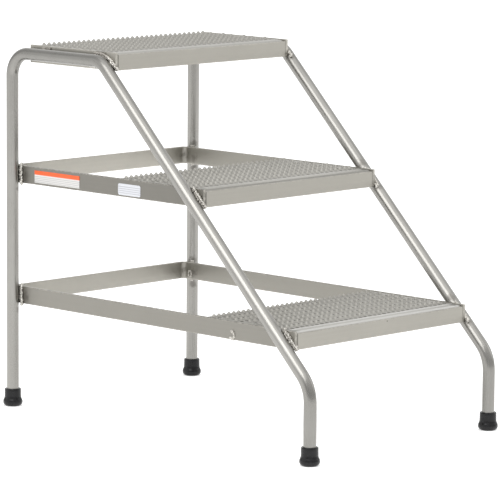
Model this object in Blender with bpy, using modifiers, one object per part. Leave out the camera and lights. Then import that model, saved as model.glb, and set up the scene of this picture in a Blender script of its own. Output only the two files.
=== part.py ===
"""A three-step mounting block: two bent tube side frames, three flat-bar step frames, three
channel treads, rubber feet, weld beads and two blank labels.

Metres, +Z up. The steps rise towards +Y, so a rider climbs from -Y. The origin is on the
floor, midway between the two tubes and midway between the front and the rear feet.
"""

import math

import bmesh
import bpy
from mathutils import Matrix, Vector

# Driving dimensions
STEP_RISE = 0.254
STEP_RUN = 0.254
FRAME_WIDTH = 0.502  # over the outer faces of the flat-bar frames
LEG_SPACING = 0.860  # front leg axis to rear leg axis
FIRST_STEP_SETBACK = 0.055  # front leg axis to the front face of the bottom step
REAR_BAR_OVERHANG = 0.013  # rear bar face behind the rear leg axis

BAR_HEIGHT = 0.0365
BAR_THICKNESS = 0.00635
BAR_CORNER_RADIUS = 0.016
CROSS_BAR_DROP = 0.004  # top edge of the front bars below the side bars

TREAD_DEPTH = 0.256  # front face of a step to the rear edge of its tread
TREAD_THICKNESS = 0.0025
TREAD_DROP = 0.0012  # tread surface below the side bars
TREAD_SHOULDER = 0.006
TREAD_LEG_CLEARANCE = 0.002  # tread legs end this much above the bars' lower edges

TUBE_DIAMETER = 0.0254
TUBE_WALL = 0.0032
STRINGER_SLOPE = math.radians(45)
STRINGER_BEHIND_FACE = 0.0465  # stringer axis behind a step's front face, at the step's height
REAR_BEND_RADIUS = 0.048
TOP_BEND_RADIUS = 0.050
FOOT_BEND_RADIUS = 0.075

FOOT_HEIGHT = 0.037
FOOT_RADIUS = 0.0205
FOOT_SLEEVE_RADIUS = 0.0168
FOOT_SLEEVE_TAPER = 0.0004  # the sleeve widens by this down to FOOT_SLEEVE_END
FOOT_WAIST_FLARE = 0.0018  # and by this down to FOOT_WAIST
FOOT_SLEEVE_END = 0.75 * FOOT_HEIGHT
FOOT_WAIST = 0.55 * FOOT_HEIGHT
FOOT_BASE_TOP = 0.35 * FOOT_HEIGHT
FOOT_FLOOR = 0.007
FOOT_EDGE_RADIUS = 0.003
WASHER_RADIUS = 0.0122
WASHER_THICKNESS = 0.0016

WELD_RADIUS = 0.003
WELD_TAPER = 0.0025  # length over which a bead's end narrows
WELD_END_RADII = (0.45, 0.85)  # shares of the bead's radius at its end and where the taper ends
STRINGER_WELD_MARGINS = (0.001, 0.004)  # from the side bar's lower and upper edges
TOP_BEND_WELD_RUN = 0.038  # from the bend's corner, back along the tube
TOP_UPPER_WELD = (0.066, 0.038)  # ends, measured forward from the top tread's rear edge
TOP_LOWER_WELD = (0.205, 0.180)

LABEL_THICKNESS = 0.0004
ORANGE_LABEL_SIZE = (0.1365, 0.0255)
ORANGE_LABEL_PLACE = (0.0545, 0.0065)  # forward of the rear leg's axis, below the bar's edge
WHITE_LABEL_SIZE = (0.0655, 0.0235)
WHITE_LABEL_PLACE = (0.3060, 0.0095)

GAP = 0.0003  # between pieces that touch
ARC_STEP = math.radians(11.25)
STRIP_SIDE = -1.0  # Solidify offset that thickens a strip on the inside of its bends
TUBE_RESOLUTION = 6  # bevel resolution that gives a tube 16 sides
WELD_RESOLUTION = 1  # and a weld bead 6
SHARP_ANGLE = math.radians(40)

# Derived places
HALF_WIDTH = FRAME_WIDTH / 2
FRONT_LEG_Y = -LEG_SPACING / 2
REAR_LEG_Y = LEG_SPACING / 2
FIRST_FACE_Y = FRONT_LEG_Y + FIRST_STEP_SETBACK
REAR_FACE_Y = REAR_LEG_Y + REAR_BAR_OVERHANG
TUBE_RADIUS = TUBE_DIAMETER / 2
TUBE_X = HALF_WIDTH + GAP + TUBE_RADIUS
TUBE_BOTTOM = FOOT_FLOOR + WASHER_THICKNESS + 2 * GAP
SOCKET_RADIUS = TUBE_RADIUS + GAP

LEVELS = ("bottom", "middle", "top")
SIDES = {"left": -1, "right": 1}


def level_height(level):
    """Height of a step frame's upper edge."""
    return (LEVELS.index(level) + 1) * STEP_RISE


def face_y(level):
    """Y of a step's front face."""
    return FIRST_FACE_Y + LEVELS.index(level) * STEP_RUN


def stringer_y(height):
    """Y of the stringers' axis at a height."""
    return FIRST_FACE_Y + STRINGER_BEHIND_FACE + (height - STEP_RISE) / math.tan(STRINGER_SLOPE)


def stringer_height(y):
    """Height of the stringers' axis at a Y."""
    return STEP_RISE + (y - FIRST_FACE_Y - STRINGER_BEHIND_FACE) * math.tan(STRINGER_SLOPE)


TOP_TUBE_Z = level_height("top") - BAR_HEIGHT / 2

# Scene, collections and materials


def clear_scene():
    for item in list(bpy.data.objects):
        bpy.data.objects.remove(item, do_unlink=True)


def make_collection(name):
    collection = bpy.data.collections.new(name)
    bpy.context.scene.collection.children.link(collection)
    return collection


def make_material(name, colour, roughness, metallic):
    material = bpy.data.materials.new(name)
    material.use_nodes = True
    shader = material.node_tree.nodes["Principled BSDF"]
    shader.inputs["Base Color"].default_value = (*colour, 1.0)
    shader.inputs["Roughness"].default_value = roughness
    shader.inputs["Metallic"].default_value = metallic
    return material


LOOKS = {
    "tube": ((0.66, 0.67, 0.68), 0.32, 1.0),
    "bar": ((0.62, 0.61, 0.58), 0.42, 1.0),
    "tread": ((0.60, 0.60, 0.57), 0.50, 1.0),
    "rubber": ((0.02, 0.02, 0.022), 0.55, 0.0),
    "steel": ((0.45, 0.45, 0.46), 0.40, 1.0),
    "weld": ((0.70, 0.69, 0.67), 0.35, 1.0),
    "orange_label": ((0.93, 0.35, 0.10), 0.45, 0.0),
    "white_label": ((0.84, 0.85, 0.86), 0.45, 0.0),
}


def add_node(obj, collection, look):
    """Puts an object in the collection, with a material of its own."""
    collection.objects.link(obj)
    obj.data.materials.append(make_material(obj.name + "_" + look, *LOOKS[look]))
    return obj


# Outlines and shapes


def fillet(before, corner, after, radius):
    """Points of the arc that rounds a corner of a flat path."""
    into = (corner - before).normalized()
    out = (after - corner).normalized()
    turn = into.angle(out)
    cut = radius * math.tan(turn / 2)
    centre_way = (out - into).normalized()
    centre = corner + centre_way * (radius / math.cos(turn / 2))
    start = (corner - into * cut - centre).normalized()
    end = (corner + out * cut - centre).normalized()
    count = max(2, math.ceil(turn / ARC_STEP))
    return [centre + start.slerp(end, step / count) * radius for step in range(count + 1)]


def rounded_path(points, radii):
    """An open path through 2D points whose corners are rounded where their radius isn't 0."""
    path = []
    for index, (point, radius) in enumerate(zip(points, radii)):
        if radius == 0:
            path.append(point)
        else:
            path += fillet(points[index - 1], point, points[index + 1], radius)
    return path


def add_spline(data, points, radii=None):
    spline = data.splines.new("POLY")
    spline.points.add(len(points) - 1)
    for index, point in enumerate(points):
        spline.points[index].co = (*point, 1.0)
        spline.points[index].radius = radii[index] if radii else 1.0


def make_folded_strip(name, path, half_width, thickness):
    """A flat strip on edge along an open 2D path, thickened on the inside of its bends."""
    data = bpy.data.curves.new(name, "CURVE")
    data.dimensions = "2D"
    data.fill_mode = "NONE"
    data.extrude = half_width
    add_spline(data, [(point.x, point.y, 0.0) for point in path])
    strip = bpy.data.objects.new(name, data)
    sheet = strip.modifiers.new("Thickness", "SOLIDIFY")
    sheet.thickness = thickness
    sheet.offset = STRIP_SIDE
    sheet.use_even_offset = True
    return strip


def make_rod(name, points, radius, resolution, radii=None):
    """A round rod along points in space. One with radii of its own has closed ends."""
    data = bpy.data.curves.new(name, "CURVE")
    data.dimensions = "3D"
    data.bevel_depth = radius
    data.bevel_resolution = resolution
    data.use_fill_caps = radii is not None
    add_spline(data, points, radii)
    return bpy.data.objects.new(name, data)


def make_box(name, low, high):
    """A box between two corners."""
    mesh = bpy.data.meshes.new(name)
    shape = bmesh.new()
    size = [top - bottom for bottom, top in zip(low, high)]
    bmesh.ops.create_cube(shape, size=1.0, matrix=Matrix.Diagonal((*size, 1.0)))
    shape.to_mesh(mesh)
    shape.free()
    obj = bpy.data.objects.new(name, mesh)
    obj.location = [(bottom + top) / 2 for bottom, top in zip(low, high)]
    return obj


# Side frames


def side_frame_path():
    """The tube's axis as 2D points of Y and Z, from the rear foot to the front foot."""
    corners = [
        Vector((REAR_LEG_Y, TUBE_BOTTOM)),
        Vector((REAR_LEG_Y, TOP_TUBE_Z)),
        Vector((stringer_y(TOP_TUBE_Z), TOP_TUBE_Z)),
        Vector((FRONT_LEG_Y, stringer_height(FRONT_LEG_Y))),
        Vector((FRONT_LEG_Y, TUBE_BOTTOM)),
    ]
    return rounded_path(corners, (0, REAR_BEND_RADIUS, TOP_BEND_RADIUS, FOOT_BEND_RADIUS, 0))


def make_side_frame(side, collection):
    x = SIDES[side] * TUBE_X
    points = [(x, point.x, point.y) for point in side_frame_path()]
    tube = make_rod(side + "_side_frame", points, TUBE_RADIUS, TUBE_RESOLUTION)
    wall = tube.modifiers.new("Wall", "SOLIDIFY")
    wall.thickness = TUBE_WALL
    wall.offset = -1.0
    return add_node(tube, collection, "tube")


# Flat-bar step frames


def make_bent_bar(level, collection):
    """One flat bar on edge, bent round the rear corners: left side, rear and right side."""
    front = face_y(level)
    corners = [
        Vector((-HALF_WIDTH, front)),
        Vector((-HALF_WIDTH, REAR_FACE_Y)),
        Vector((HALF_WIDTH, REAR_FACE_Y)),
        Vector((HALF_WIDTH, front)),
    ]
    path = rounded_path(corners, (0, BAR_CORNER_RADIUS, BAR_CORNER_RADIUS, 0))
    bar = make_folded_strip(level + "_frame_bar", path, BAR_HEIGHT / 2, BAR_THICKNESS)
    bar.location.z = level_height(level) - BAR_HEIGHT / 2
    return add_node(bar, collection, "bar")


def make_top_side_bar(side, collection):
    """The top frame is short, so its sides are straight bars."""
    outer = SIDES[side] * HALF_WIDTH
    inner = SIDES[side] * (HALF_WIDTH - BAR_THICKNESS)
    upper = level_height("top")
    low = (min(outer, inner), face_y("top"), upper - BAR_HEIGHT)
    high = (max(outer, inner), face_y("top") + TREAD_DEPTH, upper)
    return add_node(make_box("top_" + side + "_bar", low, high), collection, "bar")


def make_cross_bar(name, level, front, collection):
    """A bar between the two side bars, a little lower than they are."""
    half = HALF_WIDTH - BAR_THICKNESS - GAP
    upper = level_height(level)
    low = (-half, front, upper - BAR_HEIGHT)
    high = (half, front + BAR_THICKNESS, upper - CROSS_BAR_DROP)
    return add_node(make_box(name, low, high), collection, "bar")


# Treads


def tread_depth_range(level):
    """Y of a tread's front and rear faces."""
    front = face_y(level) + BAR_THICKNESS + GAP
    rear = face_y(level) + TREAD_DEPTH
    if level == "top":
        rear -= BAR_THICKNESS + GAP
    return front, rear


def make_tread(level, collection):
    """A sheet folded down at the front and the rear, as a channel with its mouth down."""
    front, rear = tread_depth_range(level)
    upper = level_height(level) - TREAD_DROP
    lower = level_height(level) - BAR_HEIGHT + TREAD_LEG_CLEARANCE
    corners = [
        Vector((front, lower)),
        Vector((front, upper)),
        Vector((rear, upper)),
        Vector((rear, lower)),
    ]
    path = rounded_path(corners, (0, TREAD_SHOULDER, TREAD_SHOULDER, 0))
    half_length = HALF_WIDTH - BAR_THICKNESS - GAP
    tread = make_folded_strip(level + "_tread", path, half_length, TREAD_THICKNESS)
    # The path's X and Y become the tread's Y and Z, so its length lies along X.
    tread.rotation_euler = (math.pi / 2, 0.0, math.pi / 2)
    return add_node(tread, collection, "tread")


# Feet


def foot_places():
    """Name, X and Y of each of the four feet."""
    for side, sign in SIDES.items():
        yield "front_" + side, sign * TUBE_X, FRONT_LEG_Y
        yield "rear_" + side, sign * TUBE_X, REAR_LEG_Y


def foot_profile():
    """Radius and height from the socket's floor, up its wall and down the flared outside."""
    edge = [
        Vector((FOOT_RADIUS, FOOT_BASE_TOP)),
        Vector((FOOT_RADIUS, 0.0)),
        Vector((0.0, 0.0)),
    ]
    rounded_edge = rounded_path(edge, (0, FOOT_EDGE_RADIUS, 0))
    outside = [
        Vector((0.0, FOOT_FLOOR)),
        Vector((SOCKET_RADIUS, FOOT_FLOOR)),
        Vector((SOCKET_RADIUS, FOOT_HEIGHT)),
        Vector((FOOT_SLEEVE_RADIUS, FOOT_HEIGHT)),
        Vector((FOOT_SLEEVE_RADIUS + FOOT_SLEEVE_TAPER, FOOT_SLEEVE_END)),
        Vector((FOOT_SLEEVE_RADIUS + FOOT_WAIST_FLARE, FOOT_WAIST)),
    ]
    return outside + rounded_edge


def make_foot_mesh():
    profile = foot_profile()
    mesh = bpy.data.meshes.new("foot")
    edges = [(index, index + 1) for index in range(len(profile) - 1)]
    mesh.from_pydata([(point.x, 0.0, point.y) for point in profile], edges, [])
    return mesh


def make_foot(place, x, y, collection):
    foot = bpy.data.objects.new(place + "_foot", make_foot_mesh())
    foot.location = (x, y, 0.0)
    turned = foot.modifiers.new("Turned", "SCREW")
    turned.steps = turned.render_steps = 24
    turned.use_merge_vertices = True
    turned.merge_threshold = 0.00005
    return add_node(foot, collection, "rubber")


def make_washer(place, x, y, collection):
    """The steel disc that keeps the tube's end from cutting through the rubber."""
    mesh = bpy.data.meshes.new("washer")
    shape = bmesh.new()
    bmesh.ops.create_cone(
        shape,
        cap_ends=True,
        segments=20,
        radius1=WASHER_RADIUS,
        radius2=WASHER_RADIUS,
        depth=WASHER_THICKNESS,
    )
    shape.to_mesh(mesh)
    shape.free()
    mesh.shade_smooth()
    mesh.set_sharp_from_angle(angle=SHARP_ANGLE)
    washer = bpy.data.objects.new(place + "_foot_washer", mesh)
    washer.location = (x, y, FOOT_FLOOR + GAP + WASHER_THICKNESS / 2)
    return add_node(washer, collection, "steel")


# Welds

WELD_X = HALF_WIDTH + GAP + WELD_RADIUS  # a bead lies on the outer face of a side bar
WELD_OFFSET = math.sqrt((TUBE_RADIUS + WELD_RADIUS + GAP) ** 2 - (TUBE_X - WELD_X) ** 2)


def make_weld(name, side, path, collection):
    """A bead along 2D points of Y and Z, in the corner between a tube and a side bar."""
    ends = list(WELD_END_RADII)
    first = path[0] + (path[1] - path[0]).normalized() * WELD_TAPER
    last = path[-1] + (path[-2] - path[-1]).normalized() * WELD_TAPER
    path = [path[0], first] + path[1:-1] + [last, path[-1]]
    radii = ends + [1.0] * (len(path) - 4) + ends[::-1]
    points = [(SIDES[side] * WELD_X, point.x, point.y) for point in path]
    bead = make_rod(side + "_" + name, points, WELD_RADIUS, WELD_RESOLUTION, radii)
    return add_node(bead, collection, "weld")


def straight_path(start, end, parts=4):
    return [start.lerp(end, step / parts) for step in range(parts + 1)]


def stringer_weld_path(level):
    """Along the upper side of a stringer, across the height of a step's side bar."""
    lower = level_height(level) - BAR_HEIGHT + STRINGER_WELD_MARGINS[0]
    upper = level_height(level) - STRINGER_WELD_MARGINS[1]
    shift = WELD_OFFSET / math.sin(STRINGER_SLOPE)
    return straight_path(
        Vector((stringer_y(lower) - shift, lower)), Vector((stringer_y(upper) - shift, upper))
    )


def top_bend_weld_path():
    """Round the outside of the tube's top bend, down to the lower edge of the side bar."""
    height = TOP_TUBE_Z + WELD_OFFSET
    lower = level_height("top") - BAR_HEIGHT + STRINGER_WELD_MARGINS[0]
    shift = WELD_OFFSET / math.sin(STRINGER_SLOPE)
    corner = Vector((stringer_y(height) - shift, height))
    corners = [
        Vector((stringer_y(lower) - shift, lower)),
        corner,
        corner + Vector((TOP_BEND_WELD_RUN, 0.0)),
    ]
    return rounded_path(corners, (0, TOP_BEND_RADIUS + WELD_OFFSET, 0))


def leg_weld_path(level):
    """Down the front of a rear leg, across the height of a side bar."""
    y = REAR_LEG_Y - WELD_OFFSET
    upper = level_height(level)
    return straight_path(Vector((y, upper - BAR_HEIGHT)), Vector((y, upper)))


def top_run_weld_path(setbacks, height):
    """A short bead along the tube's level run, at a height above or below it."""
    rear = face_y("top") + TREAD_DEPTH
    start, end = (Vector((rear - setback, height)) for setback in setbacks)
    return straight_path(start, end)


def make_side_welds(side, collection):
    for level in ("bottom", "middle"):
        make_weld(level + "_stringer_weld", side, stringer_weld_path(level), collection)
        make_weld(level + "_leg_weld", side, leg_weld_path(level), collection)
    make_weld("top_bend_weld", side, top_bend_weld_path(), collection)
    upper_path = top_run_weld_path(TOP_UPPER_WELD, TOP_TUBE_Z + WELD_OFFSET)
    lower_path = top_run_weld_path(TOP_LOWER_WELD, TOP_TUBE_Z - WELD_OFFSET)
    make_weld("top_upper_weld", side, upper_path, collection)
    make_weld("top_lower_weld", side, lower_path, collection)


# Labels


def make_label(name, size, place, collection):
    """A thin blank plate on the outer face of the middle frame's left side."""
    outer = -HALF_WIDTH - GAP
    rear_y = REAR_LEG_Y - place[0]
    upper = level_height("middle") - place[1]
    low = (outer - LABEL_THICKNESS, rear_y - size[0], upper - size[1])
    high = (outer, rear_y, upper)
    return add_node(make_box(name, low, high), collection, name)


def build():
    clear_scene()
    block = make_collection("mounting_block")
    for side in SIDES:
        make_side_frame(side, block)
        make_top_side_bar(side, block)
        make_side_welds(side, block)
    for level in ("bottom", "middle"):
        make_bent_bar(level, block)
    for level in LEVELS:
        make_cross_bar(level + "_front_bar", level, face_y(level), block)
        make_tread(level, block)
    top_rear_front = face_y("top") + TREAD_DEPTH - BAR_THICKNESS
    make_cross_bar("top_rear_bar", "top", top_rear_front, block)
    for place, x, y in foot_places():
        make_foot(place, x, y, block)
        make_washer(place, x, y, block)
    make_label("orange_label", ORANGE_LABEL_SIZE, ORANGE_LABEL_PLACE, block)
    make_label("white_label", WHITE_LABEL_SIZE, WHITE_LABEL_PLACE, block)


build()
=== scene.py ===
"""The looks of a welded aluminium mounting block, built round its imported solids.

Metres, +Z up, in the row frame: the steps rise towards +Y, and the origin is on the floor midway
between the feet. Every piece rides on the one body, because nothing on the block moves.
"""

import math
import random

import bmesh
import bpy
import numpy as np
from mathutils import Euler, Matrix, Vector


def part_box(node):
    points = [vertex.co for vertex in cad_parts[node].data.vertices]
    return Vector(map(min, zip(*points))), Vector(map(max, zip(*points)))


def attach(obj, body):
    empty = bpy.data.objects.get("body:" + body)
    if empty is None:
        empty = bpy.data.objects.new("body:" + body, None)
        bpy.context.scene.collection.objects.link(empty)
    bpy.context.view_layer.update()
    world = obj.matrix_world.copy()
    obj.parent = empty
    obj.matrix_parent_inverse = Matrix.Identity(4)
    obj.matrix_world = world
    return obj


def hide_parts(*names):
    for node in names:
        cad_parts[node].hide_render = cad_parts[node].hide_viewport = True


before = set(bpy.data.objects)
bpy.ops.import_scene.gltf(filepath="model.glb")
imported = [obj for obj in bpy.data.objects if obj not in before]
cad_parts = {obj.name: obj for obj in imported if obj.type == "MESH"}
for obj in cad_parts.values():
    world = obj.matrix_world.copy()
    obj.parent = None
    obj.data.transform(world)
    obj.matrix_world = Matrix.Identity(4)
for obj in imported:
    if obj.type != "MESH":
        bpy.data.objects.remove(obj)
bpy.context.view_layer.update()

LEVELS = ("bottom", "middle", "top")
FRAME_LEVELS = LEVELS[:2]  # those whose side and rear bars are one bent bar
SIDES = {"left": -1, "right": 1}

# Sizes that the boxes of the solids don't give
STEP_RISE = 0.254
BAR_THICKNESS = 0.00635
BAR_CORNER_RADIUS = 0.016
BAR_EDGE = 0.0007  # rounding of a flat bar's edges
TUBE_RADIUS = 0.0127
REAR_BEND_RADIUS = 0.048
TOP_BEND_RADIUS = 0.050
FOOT_BEND_RADIUS = 0.075
STRINGER_BEHIND_FACE = 0.0465  # a sloped tube's axis behind a step's face, at the step's height

FINE_ARC = math.radians(3)  # the most that a path turns between two points
TUBE_SEGMENTS = 48
END_BEVEL = 0.0006  # on the ends of tubes and bars


# Measures taken from the solids' boxes

def place(node):
    """Lowest and highest corner of a solid, as arrays."""
    low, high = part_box(node)
    return np.array(low), np.array(high)


TUBE_LOW, TUBE_HIGH = place("left_side_frame")
TUBE_X = -(TUBE_LOW[0] + TUBE_HIGH[0]) / 2
FRONT_LEG_Y = TUBE_LOW[1] + TUBE_RADIUS
REAR_LEG_Y = TUBE_HIGH[1] - TUBE_RADIUS
TUBE_BOTTOM = TUBE_LOW[2]
TOP_TUBE_Z = TUBE_HIGH[2] - TUBE_RADIUS
FIRST_FACE_Y = place("bottom_frame_bar")[0][1]
HALF_WIDTH, REAR_FACE_Y = place("bottom_frame_bar")[1][:2]
BAR_HEIGHT = place("top_left_bar")[1][2] - place("top_left_bar")[0][2]


def stringer_height(y):
    """Height of a sloped tube's axis."""
    return STEP_RISE + y - FIRST_FACE_Y - STRINGER_BEHIND_FACE


def stringer_y(height):
    return FIRST_FACE_Y + STRINGER_BEHIND_FACE + height - STEP_RISE


def face_y(level):
    """Front face of a step."""
    return FIRST_FACE_Y + LEVELS.index(level) * STEP_RISE


def level_z(level):
    """Height of a step."""
    return (LEVELS.index(level) + 1) * STEP_RISE


# Paths

def fillet(before, corner, after, radius):
    """Points of the arc that rounds a corner."""
    into = (corner - before).normalized()
    out = (after - corner).normalized()
    turn = into.angle(out)
    centre = corner + (out - into).normalized() * (radius / math.cos(turn / 2))
    cut = radius * math.tan(turn / 2)
    start = (corner - into * cut - centre).normalized()
    end = (corner + out * cut - centre).normalized()
    count = max(3, math.ceil(turn / FINE_ARC))
    return [centre + start.slerp(end, step / count) * radius for step in range(count + 1)]


def rounded_path(points, radii):
    """A path through the points, with an arc at each one that has a radius."""
    path = []
    for index, (point, radius) in enumerate(zip(points, radii)):
        if radius == 0:
            path.append(point)
        else:
            path += fillet(points[index - 1], point, points[index + 1], radius)
    return path


def divided(stations, longest=0.06):
    """Adds stations between those that are far apart."""
    out = [stations[0]]
    for here, after in zip(stations, stations[1:]):
        count = math.ceil((after[0] - here[0]).length / longest)
        for k in range(1, count):
            share = k / count
            way = here[1].lerp(after[1], share).normalized()
            out.append((here[0].lerp(after[0], share), way, 0.0))
        out.append(after)
    return out


def stations_along(path):
    """The path as (point, direction, inset) for a sweep, inset at its two ends."""
    first, last = (path[1] - path[0]).normalized(), (path[-1] - path[-2]).normalized()
    stations = [(path[0], first, END_BEVEL), (path[0] + first * END_BEVEL, first, 0.0)]
    for before, here, after in zip(path, path[1:], path[2:]):
        way = ((here - before).normalized() + (after - here).normalized()).normalized()
        stations.append((here, way, 0.0))
    stations += [(path[-1] - last * END_BEVEL, last, 0.0), (path[-1], last, END_BEVEL)]
    return divided(stations)


# Meshes

def add_values(mesh, name, values):
    """Stores one number at each point, for a material to read."""
    layer = mesh.attributes.new(name, "FLOAT", "POINT")
    layer.data.foreach_set("value", np.array(values, np.float32))


def make_object(name, vertices, faces, material, uvs=None, point_values=None, sharp=35):
    """An object from lists. uvs has one pair per face corner, in metres along the surface."""
    mesh = bpy.data.meshes.new(name)
    mesh.from_pydata([tuple(v) for v in vertices], [], faces)
    if uvs is not None:
        layer = mesh.uv_layers.new(name="Along")
        layer.data.foreach_set("uv", np.array(uvs, np.float32).ravel())
    for key, values in (point_values or {}).items():
        add_values(mesh, key, values)
    mesh.validate()
    mesh.shade_smooth()
    mesh.set_sharp_from_angle(angle=math.radians(sharp))
    mesh.materials.append(material)
    obj = bpy.data.objects.new(name, mesh)
    bpy.context.scene.collection.objects.link(obj)
    return obj


def finish_piece(obj, slot, *nodes):
    """Rides the piece on the body, and hides the solids that it stands for."""
    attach(obj, "root")
    if nodes:
        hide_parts(*nodes)


def round_profile(radius, start):
    """A round section, as a function from an inset to points, and its wear, which is none."""
    def points(inset):
        angles = [start + 2 * math.pi * k / TUBE_SEGMENTS for k in range(TUBE_SEGMENTS)]
        return [((radius - inset) * math.cos(a), (radius - inset) * math.sin(a)) for a in angles]
    return points, [0.0] * TUBE_SEGMENTS


def bar_profile(thickness, height):
    """A flat bar's section, worn at its rounded edges, with its seam in the middle below."""
    steps = 3
    near = 0.0022  # where the wear of an edge has faded out

    def points(inset):
        half_a = thickness / 2 - inset
        half_b = height / 2 - inset
        radius = max(BAR_EDGE - inset, 0.00012)
        out = [(0.0, -half_b)]
        for a, b, start in ((1, -1, -90), (1, 1, 0), (-1, 1, 90), (-1, -1, 180)):
            if a == b:
                out += [(a * half_a, -b * (half_b - near)), (a * half_a, b * (half_b - near))]
            for k in range(steps + 1):
                angle = math.radians(start + 90 * k / steps)
                out.append((a * (half_a - radius) + radius * math.cos(angle),
                            b * (half_b - radius) + radius * math.sin(angle)))
        return out
    side_wear = [1.0] * (steps + 1) + [0.0, 0.0] + [1.0] * (steps + 1)
    return points, [0.25] + side_wear + side_wear


def sweep(name, path, normal, profile, material):
    """A solid swept along a flat path, whose plane has the given normal. Its ends are bevelled."""
    section, wear = profile
    end_wear = [max(w, 0.8) for w in wear] if any(wear) else wear
    normal = Vector(normal)
    stations = stations_along(path)
    vertices, along, wears = [], [0.0], []
    for index, (point, way, inset) in enumerate(stations):
        side = normal.cross(way)
        vertices += [point + side * a + normal * b for a, b in section(inset)]
        wears += wear if inset == 0 else end_wear
        if index:
            along.append(along[-1] + (point - stations[index - 1][0]).length)
    ring = section(0.0)
    count = len(ring)
    around = [0.0]
    for (a, b), (c, d) in zip(ring, ring[1:] + ring[:1]):
        around.append(around[-1] + math.hypot(c - a, d - b))
    faces, uvs = [], []
    for i, (low, high) in enumerate(zip(along, along[1:])):
        for j in range(count):
            k = (j + 1) % count
            faces.append((i * count + j, i * count + k, (i + 1) * count + k, (i + 1) * count + j))
            uvs += [(around[j], low), (around[j + 1], low), (around[j + 1], high), (around[j], high)]
    for index, corners in ((0, range(count - 1, -1, -1)), (len(stations) - 1, range(count))):
        faces.append([index * count + j for j in corners])
        uvs += [(ring[j][0], ring[j][1] + along[index]) for j in corners]
    return make_object(name, vertices, faces, material, uvs, {"wear": wears})


# Materials

class Tree:
    """Short calls for building the nodes of a material or a world."""

    def __init__(self, owner):
        owner.use_nodes = True
        self.owner = owner
        self.nodes = owner.node_tree.nodes
        self.links = owner.node_tree.links

    def put(self, socket, value):
        """Links an input or sets it, and gives a colour of three numbers its fourth."""
        if isinstance(value, bpy.types.NodeSocket):
            self.links.new(value, socket)
        elif value is not None:
            socket.default_value = (*value, 1.0) if socket.type == "RGBA" else value

    def add(self, kind, inputs=(), **settings):
        """A node with its settings, and its inputs by name or in order."""
        node = self.nodes.new(kind)
        for key, value in settings.items():
            setattr(node, key, value)
        pairs = inputs.items() if isinstance(inputs, dict) else enumerate(inputs)
        for key, value in pairs:
            self.put(node.inputs[key], value)
        return node

    def along(self):
        """Place on the surface, in metres round it and along it."""
        return self.add("ShaderNodeUVMap", uv_map="Along").outputs[0]

    def position(self):
        return self.add("ShaderNodeTexCoord").outputs["Object"]

    def height(self, position):
        return self.add("ShaderNodeSeparateXYZ", (position,)).outputs["Z"]

    def attribute(self, name):
        return self.add("ShaderNodeAttribute", attribute_name=name).outputs["Fac"]

    def math(self, operation, *inputs):
        return self.add("ShaderNodeMath", inputs, operation=operation).outputs[0]

    def weighted(self, *terms):
        """Sum of values, each times its share."""
        total = None
        for value, share in terms:
            term = self.math("MULTIPLY", value, share)
            total = term if total is None else self.math("ADD", total, term)
        return total

    def scaled(self, vector, factors):
        return self.add("ShaderNodeVectorMath", (vector, factors), operation="MULTIPLY").outputs[0]

    def dot(self, vector, other):
        node = self.add("ShaderNodeVectorMath", (vector, other), operation="DOT_PRODUCT")
        return node.outputs["Value"]

    def noise(self, vector, scale, detail=4.0, roughness=0.55, distortion=0.0):
        node = self.add("ShaderNodeTexNoise", {
            "Vector": vector, "Scale": scale, "Detail": detail, "Roughness": roughness,
            "Distortion": distortion,
        })
        return node.outputs[0]

    def ramp(self, value, low, high, to_low=0.0, to_high=1.0, smooth=True):
        node = self.add(
            "ShaderNodeMapRange",
            {"Value": value, "From Min": low, "From Max": high, "To Min": to_low, "To Max": to_high},
            interpolation_type="SMOOTHSTEP" if smooth else "LINEAR",
        )
        return node.outputs[0]

    def mix(self, factor, first, second, blend="MIX"):
        node = self.add("ShaderNodeMix", {"Factor": factor}, data_type="RGBA", blend_type=blend)
        for key, value in (("A", first), ("B", second)):
            socket = next(s for s in node.inputs if s.name == key and s.type == "RGBA")
            self.put(socket, value)
        return next(s for s in node.outputs if s.type == "RGBA")

    def cover(self, colour, mask, share, other):
        """Lays a share of another colour over a colour, where the mask is 1."""
        return self.mix(self.math("MULTIPLY", mask, share), colour, other)

    def frayed(self, position):
        """Small ragged distances in metres, which fray the edges of spots."""
        rough = self.math("SUBTRACT", self.noise(position, 120.0, 4.0), 0.5)
        return self.math("MULTIPLY", rough, 0.022)

    def spots(self, position, places, fray=0.0):
        """1 in the middle of any of the places, (centre, radius), fading to 0 at its edge."""
        total = None
        for centre, radius in places:
            node = self.add("ShaderNodeVectorMath", (position, centre), operation="DISTANCE")
            away = self.math("ADD", node.outputs["Value"], fray)
            spot = self.ramp(away, radius * 0.25, radius, 1.0, 0.0)
            total = spot if total is None else self.math("MAXIMUM", total, spot)
        return total

    def toned(self, colour):
        """Lightens or darkens a colour by the mesh's tone values, which hold painted light and shade.
        """
        shade = self.math("MULTIPLY_ADD", self.attribute("patina"), 0.3, 1.0)
        grey = self.add("ShaderNodeCombineColor", (shade, shade, shade)).outputs[0]
        return self.mix(1.0, colour, grey, "MULTIPLY")

    def bump(self, height, strength, distance, below=None):
        node = self.add("ShaderNodeBump", {
            "Height": height, "Strength": strength, "Distance": distance, "Normal": below,
        })
        return node.outputs[0]

    def finish(self, **inputs):
        """Fills in the shader and gives the material."""
        shader = self.nodes["Principled BSDF"]
        for key, value in inputs.items():
            self.put(shader.inputs[key.replace("_", " ")], value)
        return self.owner


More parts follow.
